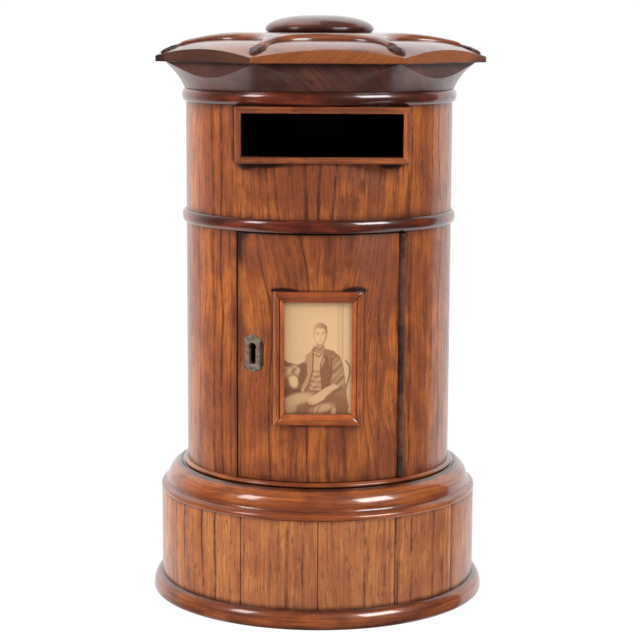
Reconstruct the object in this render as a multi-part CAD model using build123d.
from build123d import *
from math import asin, cos, degrees, pi, radians, sin, sqrt
import os

# Desk letter box in oak: a round plinth, a cylindrical case with a curved door and a posting
# slot, a coved cornice and a seven-sided carved lid. Millimetres, +Z up, front towards -Y.
# The origin is on the table at the case's axis. A bearing is an angle seen from above, counted
# from the front towards +X.

# ---- fits -----------------------------------------------------------------------------------
GLUE_GAP = 0.05          # between two curved or housed faces that are glued or pressed together
BODY_GAP = 0.3           # between pieces of two bodies that lie close
RUN_GAP = 0.06           # radial running clearance of the hinge pin and the lock bolt
DOOR_GAP = 0.8           # round the door
CLEAR = 5.0              # a cut reaches this far past the faces it opens

# ---- plinth ---------------------------------------------------------------------------------
DRUM_REACH = 22.3        # the drum stands this far outside the case
DRUM_WALL = 12.0
DRUM_HEIGHT = 87.5
STAVE_COUNT = 13
STAVE_BEARING = 0.2      # bearing of one joint between two staves
FOOT_HEIGHT = 14.6
FOOT_REACH = 7.5
FOOT_ROUND = 1.5         # small round under the foot moulding's widest line
BASE_RECESS = 2.0        # the base board stands this far above the table
BASE_THICKNESS = 12.0
PLINTH_TOP_THICKNESS = 12.0
MOULDING_HEIGHT = 22.1
FILLET_HEIGHT = 6.4      # lowest band of the plinth moulding
FILLET_SWELL = 0.4       # its face swells this far outside the drum
FILLET_SWELL_HEIGHT = 3.0
FILLET_INSET = 1.2       # its upper arris lies this far inside the drum's face
COVE_REACH = 5.3         # the fillet stands this far outside the ovolo
COVE_HEIGHT = 5.0
COVE_BOTTOM_REACH = 4.4
COVE_BOTTOM_HEIGHT = 1.5
OVOLO_REACH = 10.6
OVOLO_CROWN_REACH = 2.9
OVOLO_CROWN_HEIGHT = 7.0
OVOLO_CREST = 0.8        # the ovolo's crest stands this far above the ledge
QUIRK_DEPTH = 1.3
QUIRK_WIDTH = 0.6
NECK_BEAD_HEIGHT = 4.2
NECK_BEAD_REACH = 3.7

# ---- case -----------------------------------------------------------------------------------
CASE_RADIUS = 111.5
CASE_WALL = 13.0
BAND_HEIGHT = 89.2       # plain wall between the two beads
BEAD_HEIGHT = 11.0
BEAD_REACH = 3.4
FLOOR_THICKNESS = 12.0
FLOOR_LIP = 2.5          # the floor stands this far above the door's lower edge and stops it
BEARER_COUNT = 3
BEARER_ARC = 24.0
BEARER_WIDTH = 14.0
CEILING_THICKNESS = 12.0

# ---- door and hinge -------------------------------------------------------------------------
DOOR_HEIGHT = 199.8
DOOR_LEFT_BEARING = -35.5
HINGE_BEARING = 36.9
HINGE_END_GAP = 0.5      # the hinge ends this far inside the door's ends
BARREL_RADIUS = 2.75
PIN_RADIUS = 1.2
BARREL_GROOVE_GAP = 0.35
LEAF_THICKNESS = 1.1
LEAF_WIDTH = 9.0
LEAF_GAP = 0.6           # between the two closed leaves
LEAF_ROOT = 0.5          # a knuckle's web runs this far into its leaf
KNUCKLE_SHARES = (0.10, 0.275, 0.28, 0.26, 0.085)
KNUCKLE_GAP = 0.2
HINGE_SCREW_COUNT = 5
HINGE_SCREW_LENGTH = 9.0
HINGE_SCREW_RADIUS = 0.9
HINGE_SCREW_HEAD = 1.9
STOP_THICKNESS = 6.0
STOP_LAP = 8.0           # the stop hangs this far behind the door's upper edge
STOP_SEAT = 10.0         # and is glued to the wall over this height above the opening
STOP_BEARING = 30.0

# ---- framed print on the door ---------------------------------------------------------------
PRINT_OPENING_WIDTH = 53.7
PRINT_OPENING_HEIGHT = 89.7
PRINT_RISE = 0.7         # the print's middle above the door's middle
PRINT_LAP = 1.6          # print, card and glass reach this far under the frame
CARD_THICKNESS = 1.0
PAPER_THICKNESS = 0.3
GLASS_THICKNESS = 1.4
FLAT_DEPTH = 3.9         # depth of the flat that is planed on the door for the card
PICTURE_RAIL_WIDTH = 9.2
PICTURE_RAIL_RISE = 4.4  # crest of the picture rail above the glass
PICTURE_RAIL_EDGE = 1.9  # rim of the picture rail above the glass
PICTURE_LIP_SHARE = 0.32 # height of the rail's inner lip as a share of its rise
PICTURE_ARRIS_AT = 2.4   # the inner bevel ends this far from the opening
PICTURE_ARRIS_SHARE = 0.72
PICTURE_CREST_AT = 5.6   # the crest lies this far from the opening

# ---- posting slot ---------------------------------------------------------------------------
SLOT_WIDTH = 127.4
SLOT_HEIGHT = 33.9
SLOT_BEAD_GAP = 0.25     # between the frame and the bead above it
SLOT_OFFSET = 2.5        # the slot sits slightly towards +X
SLOT_RAIL_WIDTH = 5.4
SLOT_RAIL_PROUD = 2.3    # the flat frame's face stands this far in front of the case
SLOT_RAIL_BEVEL = 1.1
SLOT_WALL_MARGIN = 0.6   # the hole in the wall is this much larger than the frame's opening

# ---- cornice and lid ------------------------------------------------------------------------
CORNICE_HEIGHT = 22.1
CORNICE_LAP = 10.5       # the cornice reaches this far inside the case wall
CORNICE_FOOT_REACH = 0.9
CORNICE_WAIST_REACH = 7.1
CORNICE_WAIST_HEIGHT = 10.8
CORNICE_TOP_REACH = 19.5
CORNICE_FLAT_REACH = 6.5 # the seven flats that cut the cove stand this far outside the case
LID_SIDES = 7
LID_TURN = 3.1           # bearing of the front side's middle
LID_CORNER_REACH = 27.8
SLAB_THICKNESS = 17.5
SLAB_SLOPE_INSET = 65.3  # insets are measured inwards from the lid's corners
SLAB_SHOULDER_INSET = 13.3
SLAB_SHOULDER_DROP = 6.0
SLAB_RIM_DROP = 12.9
SLAB_RIM_SLOPE = 0.35
SLAB_OVERRUN = 1.0       # the turned slope runs this far past the corners
STAR_RISE = 6.2
STAR_SLOPE_INSET = 79.3
STAR_SHOULDER_INSET = 35.3
STAR_SHOULDER_DROP = 4.9
STAR_TIP_INSET = 4.3
STAR_TIP_DROP = 11.6
STAR_TIP_SLOPE = 0.26
SCALLOP_DEPTH = 47.5     # of each scallop, from the middle of the lid's side
STAR_ARM_INSET = 11.3    # where two scallops come nearest to one corner
STAR_ARM_HALF_WIDTH = 5.4
STAR_END_INSET = 19.3    # the arms end here and the buds begin
STAR_EDGE_ROUND = 2.6
STAR_EDGE_RUN = 20.0     # the rounded edges are longer than this
BUD_HALF_LENGTH = 9.6
BUD_HALF_WIDTH = 6.6
BUD_HALF_HEIGHT = 4.3
BUD_CENTRE_INSET = 10.7
BUD_DROP = 8.3           # bud centre below the slab's flat top
BUD_TILT = 19.0
DOME_RADIUS = 45.2
DOME_HEIGHT = 14.2
DOME_UNDERCUT = 3.2
DOME_UNDERCUT_HEIGHT = 3.0
DOME_FOOT_ROUND = 0.9
DOME_SHOULDER_INSET = 6.5
DOME_SHOULDER_HEIGHT = 8.8
SPIGOT_RADIUS = 9.0
SPIGOT_DEPTH = 14.0      # into the slab below its top
SPIGOT_IN_DOME = 8.0

# ---- lock and escutcheon --------------------------------------------------------------------
KEYHOLE_BEARING = -28.1
KEYHOLE_RISE = 2.9       # the keyhole's middle above the door's middle
ESCUTCHEON_WIDTH = 14.9
ESCUTCHEON_HEIGHT = 30.2
ESCUTCHEON_PROUD = 0.7
ESCUTCHEON_THICKNESS = 1.6
ESCUTCHEON_BODY_HEIGHT = 20.0
ESCUTCHEON_WAIST_SHARE = 0.90    # half widths as shares of the plate's half width
ESCUTCHEON_SHOULDER_SHARE = 0.93
ESCUTCHEON_LOBE_SHARE = 0.66
ESCUTCHEON_TIP_SHARE = 0.45
ESCUTCHEON_LOBE_RISE = 0.55      # lobe's height as a share of the pointed end
ESCUTCHEON_TIP_DROP = 1.0
MORTISE_SLIP = 1.3       # the mortise is cut this much too wide on the hinge side
MORTISE_END_SLIP = 1.2
ESCUTCHEON_PIN_RADIUS = 0.6
ESCUTCHEON_PIN_LENGTH = 6.0
ESCUTCHEON_PIN_INSET = 3.2
ESCUTCHEON_PIN_PROUD = 0.2
KEYHOLE_EYE_RADIUS = 2.7
KEYHOLE_SLOT_WIDTH = 3.9
KEYHOLE_LENGTH = 16.0
LOCK_SEAT_DEPTH = 11.2   # from the door's face at the keyhole to the flat that holds the lock
LOCK_PLATE_THICKNESS = 1.2
LOCK_LEFT = 11.8         # from the keyhole's middle to the lock's edge on the bolt side
LOCK_RIGHT = 14.2
LOCK_CASE_BELOW = 15.5   # from the keyhole's middle to the lower end of the lock's case
LOCK_PLATE_MARGIN = 5.5  # the plate is this much longer than the case at either end
LOCK_CASE_DEPTH = 7.5
LOCK_CASE_WALL = 1.2
LOCK_SCREW_INSET = 3.0
LOCK_SCREW_LENGTH = 8.0
LOCK_SCREW_RADIUS = 0.9
LOCK_SCREW_HEAD = 1.9
BOLT_HEIGHT = 8.6
BOLT_THICKNESS = 2.8
BOLT_FRONT_SPACE = 2.4   # between the bolt and the lock plate
BOLT_ABOVE_EYE = 2.0     # the notch's upper end above the eye of the keyhole
BOLT_TAIL = 11.6         # from the keyhole's middle to the bolt's inner end
BOLT_TIP_INSET = 0.4     # the withdrawn bolt's tip lies this far inside the lock's edge
BOLT_THROW = 5.6
BOLT_NOTCH_WIDTH = 4.4
BOLT_NOTCH_DEPTH = 2.6
STUD_RADIUS = 1.2
STUD_INSET = 3.0         # stud from the keyhole's middle, away from the bolt's tip
SPRING_THICKNESS = 0.4
SPRING_ROOM = 1.9        # between the bolt and the top of the lock's case
SPRING_END_GAP = 1.0
STRIKE_WIDTH = 8.0
STRIKE_HEIGHT = 24.0
STRIKE_THICKNESS = 1.2
STRIKE_EDGE = 0.5        # between the strike plate and the edge of the opening

# ---- fasteners and dowels -------------------------------------------------------------------
WOOD_SCREW_RADIUS = 2.0
WOOD_SCREW_HEAD = 4.0
WOOD_SCREW_LENGTH = 30.0
SCREW_SLOT_SHARE = 0.3   # slot's width and depth as a share of the head's radius
SCREW_MOUTH = 1.0        # a hole is open this far above its screw's head
CASE_SCREW_COUNT = 6
CASE_SCREW_BEARING = 50.0
CEILING_SCREW_COUNT = 6
LID_DOWEL_COUNT = 4
LID_DOWEL_RADIUS = 4.0
LID_DOWEL_LENGTH = 18.0
LID_DOWEL_INSET = 7.5    # the dowels stand this far inside the case's face

# ---- heights and radii that follow ----------------------------------------------------------
case_bore = CASE_RADIUS - CASE_WALL
door_thickness = CASE_WALL - BODY_GAP
cornice_bore = case_bore - CORNICE_LAP
drum_radius = CASE_RADIUS + DRUM_REACH
drum_bore = drum_radius - DRUM_WALL
ledge_height = DRUM_HEIGHT + MOULDING_HEIGHT
neck_top = ledge_height + NECK_BEAD_HEIGHT
door_bottom = neck_top + DOOR_GAP
door_top = door_bottom + DOOR_HEIGHT
print_middle = (door_bottom + door_top) / 2 + PRINT_RISE
keyhole_middle = (door_bottom + door_top) / 2 + KEYHOLE_RISE
mid_bead_bottom = door_top + DOOR_GAP
mid_bead_middle = mid_bead_bottom + BEAD_HEIGHT / 2
top_bead_bottom = mid_bead_bottom + BEAD_HEIGHT + BAND_HEIGHT
case_top = top_bead_bottom + BEAD_HEIGHT
slot_middle = top_bead_bottom - SLOT_BEAD_GAP - SLOT_RAIL_WIDTH - SLOT_HEIGHT / 2
slab_bottom = case_top + CORNICE_HEIGHT
slab_top = slab_bottom + SLAB_THICKNESS
star_top = slab_top + STAR_RISE
lid_corner = CASE_RADIUS + LID_CORNER_REACH
lid_flat = lid_corner * cos(pi / LID_SIDES)
star_end = lid_corner - STAR_END_INSET
side_angle = 360 / LID_SIDES
door_bore = CASE_RADIUS - door_thickness
door_gap_angle = degrees(DOOR_GAP / CASE_RADIUS)
hinge_bottom = door_bottom + HINGE_END_GAP
hinge_length = DOOR_HEIGHT - 2 * HINGE_END_GAP
flat_y = -CASE_RADIUS + FLAT_DEPTH
glass_front_y = flat_y - CARD_THICKNESS - PAPER_THICKNESS - GLASS_THICKNESS - 3 * GLUE_GAP
BIG = 1000.0


# ---- helpers --------------------------------------------------------------------------------
def polar(radius, bearing, height=0.0):
    """Point at a radius, bearing and height."""
    angle = radians(bearing)
    return Vector(radius * sin(angle), -radius * cos(angle), height)


def radial_plane(radius, bearing, height=0.0):
    """Plane touching a cylinder: x runs towards greater bearings, y up, z outward."""
    angle = radians(bearing)
    tangent = (cos(angle), sin(angle), 0)
    outward = (sin(angle), -cos(angle), 0)
    return Plane(origin=polar(radius, bearing, height), x_dir=tangent, z_dir=outward)


def disc(radius, bottom, height):
    """Upright disc on the case's axis."""
    return Pos(0, 0, bottom) * Cylinder(radius, height, align=(Align.CENTER, Align.CENTER, Align.MIN))


def ring(inner, outer, bottom, height):
    """Upright ring on the case's axis."""
    return disc(outer, bottom, height) - disc(inner, bottom, height)


def sector(inner, outer, start, end, bottom, height):
    """Piece of a ring between two bearings."""
    outer_arc = CenterArc((0, 0), outer, start - 90, end - start)
    inner_arc = CenterArc((0, 0), inner, start - 90, end - start)
    sides = [Line(outer_arc @ 0, inner_arc @ 0), Line(outer_arc @ 1, inner_arc @ 1)]
    face = make_face([outer_arc, inner_arc] + sides)
    return Pos(0, 0, bottom) * extrude(face, amount=height)


def turned(edges):
    """Solid turned about the case's axis from an outline of (radius, height)."""
    return revolve(Plane.XZ * make_face(edges), Axis.Z, 360)


def block(x_range, y_range, z_range):
    """Box between three pairs of limits."""
    size = [high - low for low, high in (x_range, y_range, z_range)]
    corner = (x_range[0], y_range[0], z_range[0])
    return Pos(*corner) * Box(*size, align=(Align.MIN, Align.MIN, Align.MIN))


def screw(length, shank, head, slot=True):
    """Countersunk screw pointing down, its head's face at z = 0."""
    outline = Polyline((0, 0), (head, 0), (shank, shank - head), (shank, 2 * shank - length),
                       (0, -length), (0, 0))
    body = turned([outline])
    if slot:
        width = SCREW_SLOT_SHARE * head
        body -= block((-head, head), (-width / 2, width / 2), (-width, CLEAR))
    return body


def screw_hole(length, shank, head):
    """Room for a screw: a little wider, and open above its head."""
    room = screw(length + GLUE_GAP, shank + GLUE_GAP, head + GLUE_GAP, slot=False)
    return room + disc(head + GLUE_GAP, -GLUE_GAP / 2, SCREW_MOUTH)


def cut_all(shape, tools):
    """Shape with every tool cut from it."""
    for tool in tools:
        shape = shape - tool
    return shape


def solids_of(shape):
    """Every solid of one shape or of a list of shapes."""
    shapes = shape if isinstance(shape, (list, tuple)) else [shape]
    return [solid for item in shapes for solid in item.solids()]


# ---- plinth ---------------------------------------------------------------------------------
def foot_moulding():
    """Quarter-round ring round the drum's foot."""
    inner = drum_radius + GLUE_GAP
    outer = drum_radius + FOOT_REACH
    under = outer - FOOT_ROUND
    top = EllipticalCenterArc((inner, FOOT_ROUND), outer - inner, FOOT_HEIGHT - FOOT_ROUND, 0,
                              arc_size=90)
    turn = CenterArc((under, FOOT_ROUND), FOOT_ROUND, 270, 90)
    return turned([Line((inner, 0), (under, 0)), turn, top, Line((inner, FOOT_HEIGHT), (inner, 0))])


def plinth_staves():
    """Staves of the drum, glued edge to edge."""
    step = 360 / STAVE_COUNT
    seam = degrees(GLUE_GAP / drum_radius)
    starts = [STAVE_BEARING + index * step + seam / 2 for index in range(STAVE_COUNT)]
    return [sector(drum_bore, drum_radius, start, start + step - seam, 0, DRUM_HEIGHT) for start in starts]


def base_board():
    """Round board inside the drum's foot."""
    return disc(drum_bore - GLUE_GAP, BASE_RECESS, BASE_THICKNESS)


def plinth_top_board():
    """Round board flush with the drum's top, which carries the case."""
    bottom = DRUM_HEIGHT - PLINTH_TOP_THICKNESS
    return cut_all(disc(drum_bore - GLUE_GAP, bottom, PLINTH_TOP_THICKNESS), case_screw_holes())


def plinth_moulding():
    """Turned moulding on the drum: a fillet, a small cove, a large ovolo and a quirk."""
    inner = CASE_RADIUS + GLUE_GAP
    base = DRUM_HEIGHT
    fillet_top = base + FILLET_HEIGHT
    crest = ledge_height + OVOLO_CREST
    ovolo_foot = (drum_radius - COVE_REACH, fillet_top + COVE_HEIGHT)
    ovolo_top = (ovolo_foot[0] - OVOLO_REACH, crest)
    quirk_foot = CASE_RADIUS + NECK_BEAD_REACH
    quirk = (quirk_foot + QUIRK_WIDTH, crest - QUIRK_DEPTH)
    fillet_foot = (drum_radius, base)
    fillet_swell = (drum_radius + FILLET_SWELL, base + FILLET_SWELL_HEIGHT)
    fillet_arris = (drum_radius - FILLET_INSET, fillet_top)
    cove_bottom = (drum_radius - COVE_BOTTOM_REACH, fillet_top + COVE_BOTTOM_HEIGHT)
    ovolo_crown = (ovolo_foot[0] - OVOLO_CROWN_REACH, ovolo_foot[1] + OVOLO_CROWN_HEIGHT)
    edges = [
        Line((inner, base), fillet_foot),
        ThreePointArc(fillet_foot, fillet_swell, fillet_arris),
        ThreePointArc(fillet_arris, cove_bottom, ovolo_foot),
        ThreePointArc(ovolo_foot, ovolo_crown, ovolo_top),
        Line(ovolo_top, quirk),
        Line(quirk, (quirk_foot, ledge_height)),
        Line((quirk_foot, ledge_height), (inner, ledge_height)),
        Line((inner, ledge_height), (inner, base)),
    ]
    return turned(edges)


def neck_bead():
    """Small bead that hugs the case above the plinth moulding."""
    return bead_ring(ledge_height, NECK_BEAD_HEIGHT, NECK_BEAD_REACH)


def bead_ring(bottom, height, reach):
    """Half-round ring round the case."""
    inner = CASE_RADIUS + GLUE_GAP
    outer = CASE_RADIUS + reach
    lower = (inner, bottom)
    upper = (inner, bottom + height)
    bulge = EllipticalCenterArc((inner, bottom + height / 2), outer - inner, height / 2, -90, arc_size=180)
    return turned([bulge, Line(upper, lower)])


# ---- case -----------------------------------------------------------------------------------
def case_screw_places():
    """Planes of the screws that hold the case on the plinth, heads below."""
    radius = case_bore + CASE_WALL / 2
    step = 360 / CASE_SCREW_COUNT
    bearings = [CASE_SCREW_BEARING + index * step for index in range(CASE_SCREW_COUNT)]
    bottom = DRUM_HEIGHT - PLINTH_TOP_THICKNESS
    return [Pos(*polar(radius, bearing, bottom)) * Rot(180, 0, 0) for bearing in bearings]


def case_screw_holes():
    """Holes for the screws that hold the case on the plinth."""
    hole = screw_hole(WOOD_SCREW_LENGTH, WOOD_SCREW_RADIUS, WOOD_SCREW_HEAD)
    return [place * hole for place in case_screw_places()]


def case_screws():
    """Screws from the plinth's top board up into the case wall."""
    one = screw(WOOD_SCREW_LENGTH, WOOD_SCREW_RADIUS, WOOD_SCREW_HEAD)
    return [place * one for place in case_screw_places()]


def door_opening():
    """Room for the door in the case wall, up to the hinge's plane."""
    start = DOOR_LEFT_BEARING - door_gap_angle
    bottom = door_bottom - DOOR_GAP
    height = DOOR_HEIGHT + 2 * DOOR_GAP
    room = sector(case_bore - CLEAR, CASE_RADIUS + CLEAR, start, HINGE_BEARING, bottom, height)
    return room + hinge_slab(0, LEAF_GAP / 2 + GLUE_GAP, bottom, height) + barrel_groove(bottom, height)


def hinge_plane(height=0.0):
    """Plane at the hinge's axis: x towards the case, y up, z outward."""
    return radial_plane(CASE_RADIUS, HINGE_BEARING, height)


def hinge_slab(near, far, bottom, height):
    """Slab beside the hinge's plane, from near to far along the hinge plane's x."""
    low, high = sorted((near, far))
    return hinge_plane(bottom) * block((low, high), (0, height), (-CASE_WALL - CLEAR, CLEAR))


def barrel_groove(bottom, height):
    """Room for the hinge barrel in the arris of door and case."""
    radius = BARREL_RADIUS + BARREL_GROOVE_GAP
    upright = Rot(-90, 0, 0) * Cylinder(radius, height, align=(Align.CENTER, Align.CENTER, Align.MIN))
    return hinge_plane(bottom) * upright


def lower_case_shell():
    """Lower wall of the case, open at the front for the door."""
    wall = ring(case_bore, CASE_RADIUS, DRUM_HEIGHT, mid_bead_middle - DRUM_HEIGHT)
    wall -= door_opening()
    wall -= hinge_leaf_room(1)
    wall = cut_all(wall, hinge_screw_holes(1))
    wall = cut_all(wall, case_screw_holes())
    wall -= strike_room()
    return cut_all(wall, strike_screw_holes())


def upper_case_shell():
    """Upper wall of the case, with the posting slot."""
    wall = ring(case_bore, CASE_RADIUS, mid_bead_middle, case_top - mid_bead_middle)
    half_width = SLOT_WIDTH / 2 + SLOT_WALL_MARGIN
    half_height = SLOT_HEIGHT / 2 + SLOT_WALL_MARGIN
    hole = block((SLOT_OFFSET - half_width, SLOT_OFFSET + half_width), (-CASE_RADIUS - CLEAR, 0),
                 (slot_middle - half_height, slot_middle + half_height))
    return wall - hole


def case_floor():
    """Floor of the letter compartment, whose front edge also stops the door."""
    bottom = door_bottom + FLOOR_LIP - FLOOR_THICKNESS
    return disc(case_bore - GLUE_GAP, bottom, FLOOR_THICKNESS)


def floor_bearers():
    """Blocks glued inside the case that carry its floor."""
    outer = case_bore - GLUE_GAP
    height = door_bottom + FLOOR_LIP - FLOOR_THICKNESS - DRUM_HEIGHT
    middles = [index * 360 / BEARER_COUNT for index in range(BEARER_COUNT)]
    return [sector(outer - BEARER_WIDTH, outer, middle - BEARER_ARC / 2, middle + BEARER_ARC / 2,
                   DRUM_HEIGHT, height) for middle in middles]


def door_stop():
    """Curved strip inside the case, behind the door's upper edge."""
    outer = case_bore - GLUE_GAP
    bottom = door_top - STOP_LAP
    height = STOP_LAP + DOOR_GAP + STOP_SEAT
    return sector(outer - STOP_THICKNESS, outer, -STOP_BEARING, STOP_BEARING, bottom, height)


def ceiling_screw_places():
    """Places of the screws from the ceiling board up into the cornice, heads below."""
    radius = (cornice_bore + case_bore) / 2
    bottom = case_top - CEILING_THICKNESS
    bearings = [index * 360 / CEILING_SCREW_COUNT for index in range(CEILING_SCREW_COUNT)]
    return [Pos(*polar(radius, bearing, bottom)) * Rot(180, 0, 0) for bearing in bearings]


def ceiling_screw_holes():
    """Holes for the ceiling screws."""
    hole = screw_hole(WOOD_SCREW_LENGTH, WOOD_SCREW_RADIUS, WOOD_SCREW_HEAD)
    return [place * hole for place in ceiling_screw_places()]


def ceiling_screws():
    """Screws that hold the cornice down on the case's ceiling."""
    one = screw(WOOD_SCREW_LENGTH, WOOD_SCREW_RADIUS, WOOD_SCREW_HEAD)
    return [place * one for place in ceiling_screw_places()]


def ceiling_board():
    """Board that closes the case's top."""
    board = disc(case_bore - GLUE_GAP, case_top - CEILING_THICKNESS, CEILING_THICKNESS)
    return cut_all(board, ceiling_screw_holes())


# ---- framed openings ------------------------------------------------------------------------
def mitred_rail(half_run, half_across, width, section):
    """One side of a flat frame, lying above the opening's centre, its face towards +z."""
    end = half_run + width
    plane = Plane(origin=(-end, half_across, 0), x_dir=(0, 1, 0), z_dir=(1, 0, 0))
    bar = extrude(plane * make_face(section), amount=2 * end)
    corners = [(-end, half_across + width), (end, half_across + width), (half_run, half_across),
               (-half_run, half_across), (-end, half_across + width)]
    wedge = Pos(0, 0, -BIG / 2) * extrude(make_face(Polyline(*corners)), amount=BIG)
    return bar & wedge


def framed(half_width, half_height, rail_width, section, plane):
    """Four mitred sides of a frame in a plane: top, bottom, left and right."""
    level = mitred_rail(half_width, half_height, rail_width, section)
    upright = mitred_rail(half_height, half_width, rail_width, section)
    turns = {"top": (level, 0), "bottom": (level, 180), "left": (upright, 90), "right": (upright, -90)}
    return {side: plane * Rot(0, 0, turn) * bar for side, (bar, turn) in turns.items()}


def slot_frame():
    """Flat bevelled frame of the posting slot, its back scribed to the case."""
    face = CASE_RADIUS + SLOT_RAIL_PROUD
    depth = face - sqrt(CASE_RADIUS ** 2 - (SLOT_WIDTH / 2 + SLOT_RAIL_WIDTH + SLOT_OFFSET) ** 2) + CLEAR
    width = SLOT_RAIL_WIDTH
    bevel = SLOT_RAIL_BEVEL
    section = [Polyline((0, -depth), (0, -bevel / 2), (bevel, 0), (width - bevel, 0),
                        (width, -bevel), (width, -depth), (0, -depth))]
    plane = Plane(origin=(SLOT_OFFSET, -face, slot_middle), x_dir=(1, 0, 0), z_dir=(0, -1, 0))
    sides = framed(SLOT_WIDTH / 2, SLOT_HEIGHT / 2, width, section, plane)
    core = disc(CASE_RADIUS + GLUE_GAP, 0, BIG)
    return {side: bar - core for side, bar in sides.items()}


def picture_frame():
    """Moulded frame of the print, rebated over the glass, its back scribed to the door."""
    width = PICTURE_RAIL_WIDTH
    rise = PICTURE_RAIL_RISE
    rim = PICTURE_RAIL_EDGE
    depth = CASE_RADIUS
    lip = (0, PICTURE_LIP_SHARE * rise)
    arris = (PICTURE_ARRIS_AT, PICTURE_ARRIS_SHARE * rise)
    section = [Line((0, -depth), lip), Line(lip, arris),
               ThreePointArc(arris, (PICTURE_CREST_AT, rise), (width, rim)),
               Line((width, rim), (width, -depth)), Line((width, -depth), (0, -depth))]
    plane = Plane(origin=(0, glass_front_y - GLUE_GAP, print_middle), x_dir=(1, 0, 0),
                  z_dir=(0, -1, 0))
    sides = framed(PRINT_OPENING_WIDTH / 2, PRINT_OPENING_HEIGHT / 2, width, section, plane)
    core = disc(CASE_RADIUS + GLUE_GAP, 0, BIG)
    rebate = picture_layer(glass_front_y - GLUE_GAP, CASE_RADIUS, GLUE_GAP)
    return {side: bar - core - rebate for side, bar in sides.items()}


def picture_layer(front_y, thickness, slip=0.0):
    """One flat layer under the picture frame, its front at front_y."""
    half_width = PRINT_OPENING_WIDTH / 2 + PRINT_LAP + slip
    half_height = PRINT_OPENING_HEIGHT / 2 + PRINT_LAP + slip
    return block((-half_width, half_width), (front_y, front_y + thickness),
                 (print_middle - half_height, print_middle + half_height))


def portrait_card():
    """Card that lies on the door's flat."""
    return picture_layer(flat_y - CARD_THICKNESS, CARD_THICKNESS)


def portrait_print():
    """Paper print on the card."""
    return picture_layer(flat_y - CARD_THICKNESS - GLUE_GAP - PAPER_THICKNESS, PAPER_THICKNESS)


def picture_glass():
    """Glass in front of the print."""
    return picture_layer(glass_front_y, GLASS_THICKNESS)


# ---- door -----------------------------------------------------------------------------------
def door_panel():
    """Curved door with the flat for the card, the housings of hinge and lock, and the keyhole."""
    panel = sector(door_bore, CASE_RADIUS, DOOR_LEFT_BEARING, HINGE_BEARING, door_bottom, DOOR_HEIGHT)
    panel -= hinge_slab(0, -LEAF_GAP / 2 - GLUE_GAP, door_bottom, DOOR_HEIGHT)
    panel -= barrel_groove(door_bottom, DOOR_HEIGHT)
    panel -= hinge_leaf_room(-1)
    panel = cut_all(panel, hinge_screw_holes(-1))
    panel -= picture_layer(flat_y - CASE_RADIUS, CASE_RADIUS, GLUE_GAP)
    panel -= lock_housing()
    panel = cut_all(panel, lock_screw_holes())
    panel -= keyhole_plane() * keyhole(BIG, -BIG / 2)
    panel -= escutcheon_mortise()
    return cut_all(panel, escutcheon_pin_holes())


def hinge_leaf_room(side):
    """Housing of one leaf in the edge of the case (side 1) or the door (side -1)."""
    reach = LEAF_GAP / 2 + LEAF_THICKNESS + GLUE_GAP
    depth = BARREL_RADIUS + BARREL_GROOVE_GAP + LEAF_WIDTH + GLUE_GAP
    low, high = sorted((0, side * reach))
    slip = 2 * GLUE_GAP
    room = block((low, high), (-slip, hinge_length + slip), (-depth, 0))
    return hinge_plane(hinge_bottom) * room


def knuckle_spans():
    """Lower end and length of each knuckle, from the bottom of the hinge."""
    spans = []
    start = 0.0
    for share in reversed(KNUCKLE_SHARES):
        length = share * hinge_length
        spans.append((start + KNUCKLE_GAP / 2, length - KNUCKLE_GAP))
        start += length
    return spans


def hinge_screw_places(side):
    """Places of one leaf's screws, heads flush with the leaf's face."""
    step = hinge_length / HINGE_SCREW_COUNT
    heights = [hinge_bottom + (index + 0.5) * step for index in range(HINGE_SCREW_COUNT)]
    depth = BARREL_RADIUS + BARREL_GROOVE_GAP + LEAF_WIDTH / 2
    return [hinge_plane(height).location * Pos(side * LEAF_GAP / 2, 0, -depth) * Rot(0, -90 * side, 0)
            for height in heights]


def hinge_screw_holes(side):
    """Holes for one leaf's screws."""
    hole = screw_hole(HINGE_SCREW_LENGTH, HINGE_SCREW_RADIUS, HINGE_SCREW_HEAD)
    return [place * hole for place in hinge_screw_places(side)]


def hinge_screws(side):
    """Screws of the case leaf (side 1) or the door leaf (side -1)."""
    one = screw(HINGE_SCREW_LENGTH, HINGE_SCREW_RADIUS, HINGE_SCREW_HEAD)
    return [place * one for place in hinge_screw_places(side)]


def hinge_leaf(side, knuckles):
    """One leaf with its knuckles. The knuckles are counted from the bottom."""
    near, far = sorted((side * LEAF_GAP / 2, side * (LEAF_GAP / 2 + LEAF_THICKNESS)))
    clear = BARREL_RADIUS + BARREL_GROOVE_GAP
    leaf = block((near, far), (0, hinge_length), (-clear - LEAF_WIDTH, -clear))
    spans = knuckle_spans()
    upright = Rot(-90, 0, 0)
    align = (Align.CENTER, Align.CENTER, Align.MIN)
    for index in knuckles:
        bottom, length = spans[index]
        leaf += block((near, far), (bottom, bottom + length), (-clear - LEAF_ROOT, -PIN_RADIUS))
        leaf += Pos(0, bottom, 0) * upright * Cylinder(BARREL_RADIUS, length, align=align)
    leaf -= upright * Cylinder(PIN_RADIUS + RUN_GAP, hinge_length, align=align)
    leaf = hinge_plane(hinge_bottom) * leaf
    return cut_all(leaf, hinge_screw_holes(side))


def hinge_pin():
    """Pin through all knuckles."""
    align = (Align.CENTER, Align.CENTER, Align.MIN)
    return hinge_plane(hinge_bottom) * Rot(-90, 0, 0) * Cylinder(PIN_RADIUS, hinge_length, align=align)


# ---- lock -----------------------------------------------------------------------------------
def lock_plane():
    """Plane of the lock's seat: x away from the bolt's tip, y up, z outward."""
    return radial_plane(CASE_RADIUS - LOCK_SEAT_DEPTH, KEYHOLE_BEARING, keyhole_middle)


def keyhole_plane():
    """Plane at the door's face over the keyhole."""
    return radial_plane(CASE_RADIUS, KEYHOLE_BEARING, keyhole_middle)


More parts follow.
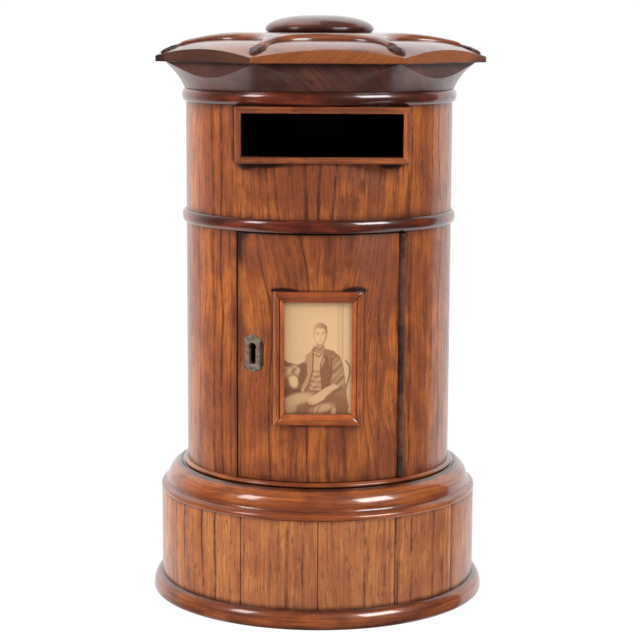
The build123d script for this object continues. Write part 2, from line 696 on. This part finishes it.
def keyhole(depth, start):
    """Keyhole prism: a round eye above a straight slot."""
    eye_y = KEYHOLE_LENGTH / 2 - KEYHOLE_EYE_RADIUS
    foot = -KEYHOLE_LENGTH / 2
    slot = Pos(0, (eye_y + foot) / 2) * Rectangle(KEYHOLE_SLOT_WIDTH, eye_y - foot)
    shape = slot + Pos(0, eye_y) * Circle(KEYHOLE_EYE_RADIUS)
    return Pos(0, 0, start) * extrude(shape, amount=depth)


def lock_housing():
    """Flat-bottomed housing on the door's inside for the lock."""
    slip = GLUE_GAP
    low, high = lock_plate_ends()
    room = block((-LOCK_LEFT - BIG, LOCK_RIGHT + slip), (low - slip, high + slip),
                 (-LOCK_PLATE_THICKNESS - door_thickness, 0))
    return lock_plane() * room


def lock_screw_places():
    """Places of the four screws through the lock plate into the door."""
    across = (-LOCK_LEFT + LOCK_SCREW_INSET, LOCK_RIGHT - LOCK_SCREW_INSET)
    low, high = lock_plate_ends()
    up = (low + LOCK_SCREW_INSET, high - LOCK_SCREW_INSET)
    flip = Rot(180, 0, 0)
    return [lock_plane().location * Pos(x, y, -LOCK_PLATE_THICKNESS) * flip for x in across for y in up]


def lock_screw_holes():
    """Holes for the lock's screws."""
    hole = screw_hole(LOCK_SCREW_LENGTH, LOCK_SCREW_RADIUS, LOCK_SCREW_HEAD)
    return [place * hole for place in lock_screw_places()]


def lock_screws():
    """Screws that hold the lock on the door."""
    one = screw(LOCK_SCREW_LENGTH, LOCK_SCREW_RADIUS, LOCK_SCREW_HEAD)
    return [place * one for place in lock_screw_places()]


def bolt_levels():
    """Limits of the bolt in the lock's plane: (bottom, top) and (back, front)."""
    middle = KEYHOLE_LENGTH / 2 - KEYHOLE_EYE_RADIUS + BOLT_ABOVE_EYE + BOLT_NOTCH_DEPTH
    front = -LOCK_PLATE_THICKNESS - BOLT_FRONT_SPACE
    return (middle - BOLT_HEIGHT / 2, middle + BOLT_HEIGHT / 2), (front - BOLT_THICKNESS, front)


def lock_case_top():
    """Upper end of the lock's case, above bolt and spring."""
    up, _ = bolt_levels()
    return up[1] + SPRING_ROOM + LOCK_CASE_WALL


def lock_plate_ends():
    """Lower and upper end of the lock plate."""
    return -LOCK_CASE_BELOW - LOCK_PLATE_MARGIN, lock_case_top() + LOCK_PLATE_MARGIN


def lock_plate():
    """Base plate of the lock, screwed flat on the door's housing."""
    plate = block((-LOCK_LEFT, LOCK_RIGHT), lock_plate_ends(), (-LOCK_PLATE_THICKNESS, 0))
    plate -= keyhole(BIG, -BIG / 2)
    plate = lock_plane() * plate
    return cut_all(plate, lock_screw_holes())


def lock_case():
    """Box of the lock, open towards its plate, with a mouth for the bolt."""
    wall = LOCK_CASE_WALL
    back = -LOCK_PLATE_THICKNESS - LOCK_CASE_DEPTH
    top = lock_case_top()
    box = block((-LOCK_LEFT, LOCK_RIGHT), (-LOCK_CASE_BELOW, top), (back, -LOCK_PLATE_THICKNESS))
    box -= block((-LOCK_LEFT + wall, LOCK_RIGHT - wall), (-LOCK_CASE_BELOW + wall, top - wall),
                 (back + wall, 0))
    up, deep = bolt_levels()
    slip = RUN_GAP
    box -= block((-LOCK_LEFT - CLEAR, 0), (up[0] - slip, up[1] + slip), (deep[0] - slip, deep[1] + slip))
    return lock_plane() * box


def lock_stud():
    """Stud through the bolt's slot, from the lock's back to its plate."""
    back = -LOCK_PLATE_THICKNESS - LOCK_CASE_DEPTH + LOCK_CASE_WALL
    up, _ = bolt_levels()
    pin = Cylinder(STUD_RADIUS, -LOCK_PLATE_THICKNESS - back, align=(Align.CENTER, Align.CENTER, Align.MIN))
    return lock_plane() * (Pos(STUD_INSET, sum(up) / 2, back) * pin)


def lock_bolt():
    """Sliding bolt with the slot for its stud and the notch for a key."""
    up, deep = bolt_levels()
    tip = -LOCK_LEFT + BOLT_TIP_INSET
    bar = block((tip, BOLT_TAIL), up, deep)
    half = STUD_RADIUS + RUN_GAP
    middle = sum(up) / 2
    slot = block((STUD_INSET, STUD_INSET + BOLT_THROW), (middle - half, middle + half), deep)
    bar -= slot
    for x in (STUD_INSET, STUD_INSET + BOLT_THROW):
        bar -= Pos(x, middle, sum(deep) / 2) * Cylinder(half, BOLT_THICKNESS)
    bar -= block((-BOLT_NOTCH_WIDTH / 2, BOLT_NOTCH_WIDTH / 2), (up[0], up[0] + BOLT_NOTCH_DEPTH), deep)
    return lock_plane() * bar


def lock_spring():
    """Bowed leaf spring between the bolt and the top of the lock's case."""
    up, deep = bolt_levels()
    top = up[1] + SPRING_ROOM - GLUE_GAP
    half = LOCK_LEFT - LOCK_CASE_WALL - SPRING_END_GAP
    low = up[1] + BODY_GAP + SPRING_THICKNESS
    outer = ThreePointArc((-half, top), (0, low), (half, top))
    inner = ThreePointArc((-half, top - SPRING_THICKNESS), (0, low - SPRING_THICKNESS),
                          (half, top - SPRING_THICKNESS))
    face = make_face([outer, inner, Line(outer @ 0, inner @ 0), Line(outer @ 1, inner @ 1)])
    return lock_plane() * (Pos(0, 0, deep[0]) * extrude(face, amount=BOLT_THICKNESS))


def strike_plane():
    """Plane on the case's inner wall where the thrown bolt comes to lie."""
    up, _ = bolt_levels()
    edge_angle = DOOR_LEFT_BEARING - door_gap_angle
    middle = edge_angle - degrees((STRIKE_WIDTH / 2 + STRIKE_EDGE) / case_bore)
    return radial_plane(case_bore, middle, keyhole_middle + sum(up) / 2)


def strike_room():
    """Housing of the strike plate in the case's inner wall."""
    slip = GLUE_GAP
    room = block((-STRIKE_WIDTH / 2 - slip, STRIKE_WIDTH / 2 + slip),
                 (-STRIKE_HEIGHT / 2 - slip, STRIKE_HEIGHT / 2 + slip), (-CLEAR, STRIKE_THICKNESS + slip))
    return strike_plane() * room


def strike_screw_places():
    """Places of the strike plate's screws, heads towards the inside."""
    rise = STRIKE_HEIGHT / 2 - LOCK_SCREW_INSET
    return [strike_plane().location * Pos(0, y, 0) * Rot(180, 0, 0) for y in (-rise, rise)]


def strike_screw_holes():
    """Holes for the strike plate's screws."""
    hole = screw_hole(LOCK_SCREW_LENGTH, LOCK_SCREW_RADIUS, LOCK_SCREW_HEAD)
    return [place * hole for place in strike_screw_places()]


def strike_screws():
    """Screws of the strike plate."""
    one = screw(LOCK_SCREW_LENGTH, LOCK_SCREW_RADIUS, LOCK_SCREW_HEAD)
    return [place * one for place in strike_screw_places()]


def strike_plate():
    """Plate let into the case's inner wall, behind which the bolt catches."""
    plate = block((-STRIKE_WIDTH / 2, STRIKE_WIDTH / 2), (-STRIKE_HEIGHT / 2, STRIKE_HEIGHT / 2),
                  (0, STRIKE_THICKNESS))
    return cut_all(strike_plane() * plate, strike_screw_holes())


# ---- escutcheon -----------------------------------------------------------------------------
def escutcheon_outline():
    """Outline of the keyhole plate: straight flanks and a pointed lobed end above and below."""
    half = ESCUTCHEON_WIDTH / 2
    tip = ESCUTCHEON_HEIGHT / 2
    shoulder = ESCUTCHEON_BODY_HEIGHT / 2
    waist = (ESCUTCHEON_WAIST_SHARE * half, shoulder / 2)
    lobe_height = shoulder + ESCUTCHEON_LOBE_RISE * (tip - shoulder)
    lobe = (ESCUTCHEON_LOBE_SHARE * half, lobe_height)
    quarter = [
        ((half, 0), waist, (half, shoulder)),
        ((half, shoulder), (ESCUTCHEON_SHOULDER_SHARE * half, lobe_height), lobe),
        (lobe, (ESCUTCHEON_TIP_SHARE * half, tip - ESCUTCHEON_TIP_DROP), (0, tip)),
    ]
    edges = []
    for mirror_x in (1, -1):
        for mirror_y in (1, -1):
            for points in quarter:
                flipped = [(mirror_x * x, mirror_y * y) for x, y in points]
                edges.append(ThreePointArc(*flipped))
    return make_face(edges)


def escutcheon_pin_places():
    """Places of the two pins, heads on the plate's face."""
    rise = ESCUTCHEON_HEIGHT / 2 - ESCUTCHEON_PIN_INSET
    plane = radial_plane(CASE_RADIUS + ESCUTCHEON_PROUD, KEYHOLE_BEARING, keyhole_middle)
    return [plane.location * Pos(0, y, ESCUTCHEON_PIN_PROUD) for y in (-rise, rise)]


def escutcheon_pin_holes():
    """Holes for the pins."""
    hole = screw_hole(ESCUTCHEON_PIN_LENGTH, ESCUTCHEON_PIN_RADIUS, 2 * ESCUTCHEON_PIN_RADIUS)
    return [place * hole for place in escutcheon_pin_places()]


def escutcheon_pins():
    """Two small pins that hold the keyhole plate."""
    one = screw(ESCUTCHEON_PIN_LENGTH, ESCUTCHEON_PIN_RADIUS, 2 * ESCUTCHEON_PIN_RADIUS, slot=False)
    return [place * one for place in escutcheon_pin_places()]


def escutcheon():
    """Keyhole plate, curved like the door and let into it."""
    outer = CASE_RADIUS + ESCUTCHEON_PROUD
    prism = keyhole_plane() * extrude(escutcheon_outline(), amount=2 * CLEAR, both=True)
    plate = prism & ring(outer - ESCUTCHEON_THICKNESS, outer, 0, BIG)
    plate -= keyhole_plane() * keyhole(BIG, -BIG / 2)
    return cut_all(plate, escutcheon_pin_holes())


def escutcheon_mortise():
    """Shallow seat of the keyhole plate, cut a little too wide on one side."""
    floor = CASE_RADIUS + ESCUTCHEON_PROUD - ESCUTCHEON_THICKNESS - GLUE_GAP
    band = ring(floor, CASE_RADIUS + CLEAR, 0, BIG)
    seat = offset(escutcheon_outline(), GLUE_GAP)
    lap = GLUE_GAP + ESCUTCHEON_WIDTH / 4
    slip = Pos(ESCUTCHEON_WIDTH / 2 + (MORTISE_SLIP - lap) / 2, 0) * Rectangle(
        MORTISE_SLIP + lap, ESCUTCHEON_BODY_HEIGHT + 2 * MORTISE_END_SLIP)
    prism = keyhole_plane() * extrude(seat + slip, amount=2 * CLEAR, both=True)
    return prism & band


# ---- cornice and lid ------------------------------------------------------------------------
def seven_sided(flat_distance, bottom, height):
    """Prism with the lid's sides at a distance from the axis."""
    radius = flat_distance / cos(pi / LID_SIDES)
    plan = RegularPolygon(radius, LID_SIDES, rotation=LID_TURN - 90 + side_angle / 2)
    return Pos(0, 0, bottom) * extrude(plan, amount=height)


def corner_bearings():
    """Bearings of the lid's corners."""
    return [LID_TURN + (index + 0.5) * side_angle for index in range(LID_SIDES)]


def cornice_cove():
    """Turned cove under the lid, cut by seven flats."""
    foot = (CASE_RADIUS + CORNICE_FOOT_REACH, case_top)
    waist = (CASE_RADIUS + CORNICE_WAIST_REACH, case_top + CORNICE_WAIST_HEIGHT)
    top = (CASE_RADIUS + CORNICE_TOP_REACH, slab_bottom)
    edges = [Line((cornice_bore, case_top), foot), ThreePointArc(foot, waist, top),
             Line(top, (cornice_bore, slab_bottom)),
             Line((cornice_bore, slab_bottom), (cornice_bore, case_top))]
    cove = turned(edges) & seven_sided(CASE_RADIUS + CORNICE_FLAT_REACH, case_top, CORNICE_HEIGHT)
    cove = cut_all(cove, ceiling_screw_holes())
    return cut_all(cove, lid_dowel_tools(GLUE_GAP))


def lid_dowel_tools(slip=0.0):
    """Dowels between cornice and slab, or their holes where slip is given."""
    step = 360 / LID_DOWEL_COUNT
    circle = CASE_RADIUS - LID_DOWEL_INSET
    size = (LID_DOWEL_RADIUS + slip, LID_DOWEL_LENGTH + 2 * slip)
    return [Pos(*polar(circle, (index + 0.5) * step, slab_bottom)) * Cylinder(*size)
            for index in range(LID_DOWEL_COUNT)]


def slab_turning(lift=0.0):
    """Turned blank of the slab, raised by lift."""
    base = slab_bottom
    high = slab_top + lift
    start = (lid_corner - SLAB_SLOPE_INSET, high)
    shoulder = (lid_corner - SLAB_SHOULDER_INSET, high - SLAB_SHOULDER_DROP)
    rim = (lid_corner + SLAB_OVERRUN, high - SLAB_RIM_DROP)
    slope = Spline(start, shoulder, rim, tangents=[(1, 0), (1, -SLAB_RIM_SLOPE)])
    edges = [Line((0, base), (rim[0], base)), Line((rim[0], base), rim), slope, Line(start, (0, high)),
             Line((0, high), (0, base))]
    return turned(edges)


def lid_slab():
    """Seven-sided slab with a turned slope on top."""
    slab = slab_turning() & seven_sided(lid_flat, slab_bottom, SLAB_THICKNESS + CLEAR)
    slab -= spigot_room()
    return cut_all(slab, lid_dowel_tools(GLUE_GAP))


def star_plan():
    """Plan of the star: a disc with a circular scallop on every side of the lid."""
    arm_radius = lid_corner - STAR_ARM_INSET
    waist = lid_flat - SCALLOP_DEPTH
    arm = radians(side_angle / 2) - asin(STAR_ARM_HALF_WIDTH / arm_radius)
    half_chord = arm_radius * sin(arm)
    rise = arm_radius * cos(arm) - waist
    radius = (half_chord ** 2 + rise ** 2) / (2 * rise)
    plan = Circle(star_end)
    for index in range(LID_SIDES):
        centre = polar(waist + radius, LID_TURN + index * side_angle)
        plan -= Pos(centre.X, centre.Y) * Circle(radius)
    return plan


def lid_star():
    """Carved star that lies on the slab, an arm running to every corner."""
    start = (lid_corner - STAR_SLOPE_INSET, star_top)
    shoulder = (lid_corner - STAR_SHOULDER_INSET, star_top - STAR_SHOULDER_DROP)
    tip = (lid_corner - STAR_TIP_INSET, star_top - STAR_TIP_DROP)
    slope = Spline(start, shoulder, tip, tangents=[(1, 0), (1, -STAR_TIP_SLOPE)])
    edges = [Line((0, slab_bottom), (tip[0], slab_bottom)), Line((tip[0], slab_bottom), tip), slope,
             Line(start, (0, star_top)), Line((0, star_top), (0, slab_bottom))]
    prism = Pos(0, 0, slab_bottom) * extrude(star_plan(), amount=BIG)
    star = turned(edges) & prism
    star = fillet(top_edges(star), STAR_EDGE_ROUND)
    star -= slab_turning(GLUE_GAP)
    return star - spigot_room()


def top_edges(star):
    """Edges between the star's top and its scallops."""
    found = []
    for edge in star.edges():
        size = edge.bounding_box().size
        is_high = edge.center().Z > slab_top - SLAB_RIM_DROP
        if is_high and size.Z > STAR_EDGE_ROUND / 2 and size.X + size.Y > STAR_EDGE_RUN:
            found.append(edge)
    return found


def corner_buds():
    """Carved bud over every corner, at the end of its arm."""
    shape = scale(Sphere(1), by=(BUD_HALF_WIDTH, BUD_HALF_LENGTH, BUD_HALF_HEIGHT))
    level = slab_top - BUD_DROP
    clear = disc(star_end + GLUE_GAP, 0, BIG)
    seat = slab_turning(GLUE_GAP)
    buds = []
    for bearing in corner_bearings():
        middle = polar(lid_corner - BUD_CENTRE_INSET, bearing, level)
        place = Pos(*middle) * Rot(0, 0, bearing) * Rot(BUD_TILT, 0, 0)
        buds.append(place * shape - clear - seat)
    return buds


def dome_boss():
    """Low turned dome with an undercut foot."""
    base = star_top + GLUE_GAP
    foot = DOME_RADIUS - DOME_UNDERCUT
    wide = (DOME_RADIUS, base + DOME_UNDERCUT_HEIGHT)
    edges = [
        Line((0, base), (foot, base)),
        ThreePointArc((foot, base), (DOME_RADIUS - DOME_FOOT_ROUND, base + DOME_FOOT_ROUND), wide),
        Spline(wide, (DOME_RADIUS - DOME_SHOULDER_INSET, base + DOME_SHOULDER_HEIGHT),
               (0, base + DOME_HEIGHT), tangents=[(0, 1), (-1, 0)]),
        Line((0, base + DOME_HEIGHT), (0, base)),
    ]
    return turned(edges) - spigot_room()


def spigot_room():
    """Hole for the spigot through star, slab and dome."""
    bottom = slab_top - SPIGOT_DEPTH - GLUE_GAP
    return disc(SPIGOT_RADIUS + GLUE_GAP, bottom, SPIGOT_DEPTH + STAR_RISE + SPIGOT_IN_DOME + 3 * GLUE_GAP)


def dome_spigot():
    """Dowel that holds the dome."""
    return disc(SPIGOT_RADIUS, slab_top - SPIGOT_DEPTH, SPIGOT_DEPTH + STAR_RISE + SPIGOT_IN_DOME)


# ---- all pieces -----------------------------------------------------------------------------
slot_sides = slot_frame()
picture_sides = picture_frame()

pieces = {
    "foot_moulding": foot_moulding(),
    "plinth_staves": plinth_staves(),
    "base_board": base_board(),
    "plinth_top_board": plinth_top_board(),
    "plinth_moulding": plinth_moulding(),
    "neck_bead": neck_bead(),
    "case_screws": case_screws(),
    "lower_case_shell": lower_case_shell(),
    "upper_case_shell": upper_case_shell(),
    "case_floor": case_floor(),
    "floor_bearers": floor_bearers(),
    "door_stop": door_stop(),
    "mid_bead": bead_ring(mid_bead_bottom, BEAD_HEIGHT, BEAD_REACH),
    "top_bead": bead_ring(top_bead_bottom, BEAD_HEIGHT, BEAD_REACH),
    "ceiling_board": ceiling_board(),
    "ceiling_screws": ceiling_screws(),
    "slot_top_rail": slot_sides["top"],
    "slot_bottom_rail": slot_sides["bottom"],
    "slot_left_stile": slot_sides["left"],
    "slot_right_stile": slot_sides["right"],
    "cornice_cove": cornice_cove(),
    "lid_dowels": lid_dowel_tools(),
    "lid_slab": lid_slab(),
    "lid_star": lid_star(),
    "corner_buds": corner_buds(),
    "dome_boss": dome_boss(),
    "dome_spigot": dome_spigot(),
    "door_panel": door_panel(),
    "picture_top_rail": picture_sides["top"],
    "picture_bottom_rail": picture_sides["bottom"],
    "picture_left_stile": picture_sides["left"],
    "picture_right_stile": picture_sides["right"],
    "portrait_card": portrait_card(),
    "portrait_print": portrait_print(),
    "picture_glass": picture_glass(),
    "hinge_case_leaf": hinge_leaf(1, (0, 2, 4)),
    "hinge_door_leaf": hinge_leaf(-1, (1, 3)),
    "hinge_pin": hinge_pin(),
    "hinge_case_screws": hinge_screws(1),
    "hinge_door_screws": hinge_screws(-1),
    "lock_plate": lock_plate(),
    "lock_case": lock_case(),
    "lock_stud": lock_stud(),
    "lock_bolt": lock_bolt(),
    "lock_spring": lock_spring(),
    "lock_screws": lock_screws(),
    "strike_plate": strike_plate(),
    "strike_screws": strike_screws(),
    "escutcheon": escutcheon(),
    "escutcheon_pins": escutcheon_pins(),
}

os.makedirs("parts", exist_ok=True)
for name, piece in pieces.items():
    found = solids_of(piece)
    export_step(found[0] if len(found) == 1 else Compound(children=found), "parts/" + name + ".step")
    print(name, len(found))
